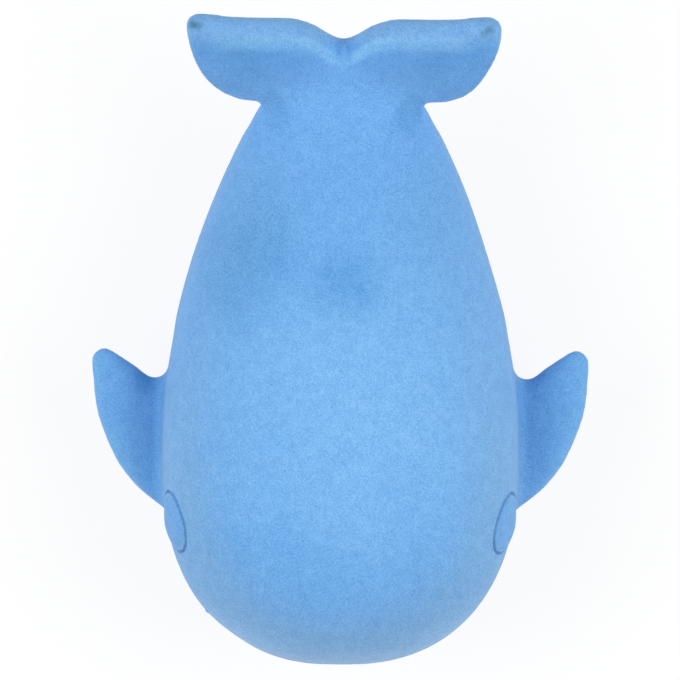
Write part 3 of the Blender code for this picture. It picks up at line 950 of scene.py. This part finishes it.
SEAM_GAP = 0.00008
BLOCK_STEPS = 40
BLOCK_HALF_LENGTH = 0.09
BLOCK_HALF_WIDTH = 0.07
BLOCK_TOP = 0.08
BLOCK_FOOT = -0.02
PORT_MOUTH = 0.0098
PORT_RECESS = 0.0093
PORT_HOLE = 0.0065
PORT_STEP = 0.0025
PORT_OVERSHOOT = 0.001
MOUTH_STEPS = 5


def seam_block(name, offset, far):
    """A block across the toy, from the mould's parting line, or an offset from it, to a far level."""
    line = []
    for step in range(BLOCK_STEPS + 1):
        y = BLOCK_HALF_LENGTH * (2 * step / BLOCK_STEPS - 1)
        line.append((y, seam_height(y) + offset))
    line += [(BLOCK_HALF_LENGTH, far), (-BLOCK_HALF_LENGTH, far)]
    sides = [[(x, y, z) for y, z in line] for x in (-BLOCK_HALF_WIDTH, BLOCK_HALF_WIDTH)]
    return prism(name, *sides)


def port_block():
    """The port's hollow, from its rounded mouth up to the foam's air space."""
    mouth_round = PORT_MOUTH - PORT_RECESS
    top = POCKET_LOW + PORT_OVERSHOOT
    profile = [(0, -PORT_OVERSHOOT), (PORT_MOUTH, -PORT_OVERSHOOT)]
    for step in range(MOUTH_STEPS + 1):
        turn = math.pi / 2 * step / MOUTH_STEPS
        radius = PORT_MOUTH - mouth_round * math.sin(turn)
        profile.append((radius, mouth_round * (1 - math.cos(turn))))
    profile += [(PORT_RECESS, PORT_STEP), (PORT_HOLE, PORT_STEP), (PORT_HOLE, top), (0, top)]
    return turned("port_block", profile)


back = copy_of(form, "back_cast")
cut(back, "INTERSECT", seam_block("upper_half", SEAM_GAP / 2, BLOCK_TOP))
belly = copy_of(form, "belly_cast")
cut(belly, "INTERSECT", seam_block("lower_half", -SEAM_GAP / 2, BLOCK_FOOT))
cut(belly, "DIFFERENCE", rod("air_pocket", POCKET_RADIUS, POCKET_LOW, POCKET_HIGH))
cut(belly, "DIFFERENCE", port_block())
for piece, node in ((back, "back_skin"), (belly, "belly_skin")):
    cavity = copy_of(core, "cavity")
    grow(cavity, CORE_CLEARANCE)
    cut(piece, "DIFFERENCE", cavity)
    finish_rubber(piece, node)
bpy.data.objects.remove(form)
bpy.data.objects.remove(whole_form)


# The squeaker.
# A barbed plug of white plastic, moulded and pushed into the belly's port. In its bore two half-rounds of
# the same plastic clamp a reed of thin amber film, which sounds as the toy is squeezed.

FLANGE_RADIUS = 0.009
FLANGE_LOW = 0.0008
FLANGE_TOP = 0.0022
NECK_RADIUS = 0.0062
BARB_RADIUS = 0.0078
BARB_LOW = 0.0053
BARB_TOP = 0.0077
PLUG_TOP = 0.0193
BORE_RADIUS = 0.0042
BORE_FLOOR = 0.0024
SOUND_HOLE = 0.0022
PLUG_ROUNDING = 0.0003
PLUG_CORNER = math.radians(35)
WHITE = (0.80, 0.80, 0.77)
WARM_WHITE = (0.72, 0.71, 0.66)
WHITE_DEPTH = (0.001, 0.001, 0.0008)
FLOW_PER_METRE = 140
TEXTURE_PER_METRE = 3000
PLASTIC_RELIEF = 0.0001
AMBER = (0.72, 0.50, 0.20)
PALE_AMBER = (0.80, 0.64, 0.36)
STREAK_SCALES = (1, 900, 60)
FILM_RELIEF = 0.00005


def white_plastic():
    material, tree, shader, place = new_material("squeaker_plastic")
    flow = noise(tree, place, FLOW_PER_METRE, detail=3)
    texture = noise(tree, place, TEXTURE_PER_METRE, detail=2)
    colour = tint(tree, span(tree, flow, 0.35, 0.7), WHITE, WARM_WHITE)
    tree.links.new(colour, shader.inputs["Base Color"])
    tree.links.new(span(tree, texture, 0.3, 0.7, 0.38, 0.55), shader.inputs["Roughness"])
    shader.inputs["Subsurface Weight"].default_value = 0.08
    shader.inputs["Subsurface Radius"].default_value = WHITE_DEPTH
    bump(tree, shader, texture, strength=0.2, distance=PLASTIC_RELIEF)
    return material


def amber_film():
    material, tree, shader, place = new_material("reed_film")
    streaks = add_node(tree, "ShaderNodeVectorMath", {0: place, 1: STREAK_SCALES}, operation="MULTIPLY")
    rolled = noise(tree, streaks.outputs[0], scale=2, detail=3)
    colour = tint(tree, span(tree, rolled, 0.3, 0.7), AMBER, PALE_AMBER)
    tree.links.new(colour, shader.inputs["Base Color"])
    tree.links.new(span(tree, rolled, 0.3, 0.7, 0.18, 0.32), shader.inputs["Roughness"])
    shader.inputs["Transmission Weight"].default_value = 0.35
    shader.inputs["IOR"].default_value = 1.6
    bump(tree, shader, rolled, strength=0.15, distance=FILM_RELIEF)
    return material


plastic = white_plastic()
plug = turned(
    "squeaker_plug_turned",
    [
        (BORE_RADIUS, PLUG_TOP),
        (NECK_RADIUS, PLUG_TOP),
        (NECK_RADIUS, BARB_TOP),
        (BARB_RADIUS, BARB_LOW),
        (NECK_RADIUS, BARB_LOW),
        (NECK_RADIUS, FLANGE_TOP),
        (FLANGE_RADIUS, FLANGE_TOP),
        (FLANGE_RADIUS, FLANGE_LOW),
        (SOUND_HOLE, FLANGE_LOW),
        (SOUND_HOLE, BORE_FLOOR),
        (BORE_RADIUS, BORE_FLOOR),
    ],
)
modify(plug, "BEVEL", width=PLUG_ROUNDING, segments=3, limit_method="ANGLE", angle_limit=PLUG_CORNER)
plug.data.materials.append(plastic)
only(plug)
bpy.ops.object.shade_smooth_by_angle(angle=PLUG_CORNER)
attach(plug, "toy")
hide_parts("squeaker_plug")
reed_materials = {"reed_bed": plastic, "reed_wedge": plastic, "squeaker_reed": amber_film()}
for node, material in reed_materials.items():
    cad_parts[node].material_slots[0].material = material


# The stage.
# A plain white sweep for a floor, two large soft boxes at the toy's sides, and a long lens straight above.

FLOOR_SIDE = 12
FLOOR_DROP = 0.0001
FLOOR_GREY = 0.9
FLOOR_GLOW = 1.05
FLOOR_SHOWN = 0.8
FILL_STRENGTH = 0.3
BACKDROP_STRENGTH = 1.0
LAMP_SIDE = 1.0
LAMP_POWER = 10.5
LAMP_ASIDE = 1.0
LAMP_HEIGHT = 0.95
CAMERA_HEIGHT = 6.5
CAMERA_REACH = 20
CAMERA_ROLL = math.radians(0.3)
CAMERA_PIXELS_ASIDE = -1.0
CAMERA_PIXELS_BACK = -1.5
SENSOR_WIDTH = 36
PIXEL = 0.0002304
IMAGE_SIDE = 680

scene = bpy.context.scene
scene.view_settings.view_transform = "Standard"


def seen_directly(tree):
    """1 for what the camera sees, itself or in a reflection or through film, else 0."""
    path = add_node(tree, "ShaderNodeLightPath").outputs
    mirrored = sums(tree, "MAXIMUM", path["Is Glossy Ray"], path["Is Transmission Ray"])
    return sums(tree, "MAXIMUM", path["Is Camera Ray"], mirrored)


bpy.ops.object.select_all(action="DESELECT")
bpy.ops.mesh.primitive_plane_add(size=FLOOR_SIDE, location=(0, 0, -FLOOR_DROP))
floor = bpy.context.object
floor.name = "floor"
floor_paint = bpy.data.materials.new("white_sweep")
floor_paint.use_nodes = True
tree = floor_paint.node_tree
paint = tree.nodes["Principled BSDF"]
paint.inputs["Base Color"].default_value = (FLOOR_GREY, FLOOR_GREY, FLOOR_GREY, 1)
paint.inputs["Roughness"].default_value = 1
glow = add_node(tree, "ShaderNodeEmission", {"Strength": FLOOR_GLOW})
share = product(tree, seen_directly(tree), FLOOR_SHOWN)
shown = add_node(tree, "ShaderNodeMixShader", {0: share, 1: paint.outputs[0], 2: glow.outputs[0]})
tree.links.new(shown.outputs[0], tree.nodes["Material Output"].inputs["Surface"])
floor.data.materials.append(floor_paint)

world = bpy.data.worlds.new("studio")
scene.world = world
world.use_nodes = True
tree = world.node_tree
fill = tree.nodes["Background"]
fill.inputs["Color"].default_value = (1, 1, 1, 1)
fill.inputs["Strength"].default_value = FILL_STRENGTH
white = {"Color": (1, 1, 1, 1), "Strength": BACKDROP_STRENGTH}
backdrop = add_node(tree, "ShaderNodeBackground", white)
sockets = {0: seen_directly(tree), 1: fill.outputs[0], 2: backdrop.outputs[0]}
shown = add_node(tree, "ShaderNodeMixShader", sockets)
tree.links.new(shown.outputs[0], tree.nodes["World Output"].inputs["Surface"])

for side, lamp_name in ((-1, "left_soft_box"), (1, "right_soft_box")):
    lamp_data = bpy.data.lights.new(lamp_name, "AREA")
    lamp_data.shape = "SQUARE"
    lamp_data.size = LAMP_SIDE
    lamp_data.energy = LAMP_POWER
    lamp = bpy.data.objects.new(lamp_name, lamp_data)
    lamp.location = (side * LAMP_ASIDE, 0, LAMP_HEIGHT)
    lamp.rotation_euler = (-lamp.location).to_track_quat("-Z", "Y").to_euler()
    lamp.visible_camera = False
    scene.collection.objects.link(lamp)

camera_data = bpy.data.cameras.new("camera")
camera_data.sensor_width = SENSOR_WIDTH
camera_data.lens = SENSOR_WIDTH * (CAMERA_HEIGHT - SEAM_LEVEL) / (IMAGE_SIDE * PIXEL)
camera_data.clip_end = CAMERA_REACH
camera = bpy.data.objects.new("camera", camera_data)
camera.location = (CAMERA_PIXELS_ASIDE * PIXEL, CAMERA_PIXELS_BACK * PIXEL, CAMERA_HEIGHT)
camera.rotation_euler = (0, 0, CAMERA_ROLL)
scene.collection.objects.link(camera)
scene.camera = camera
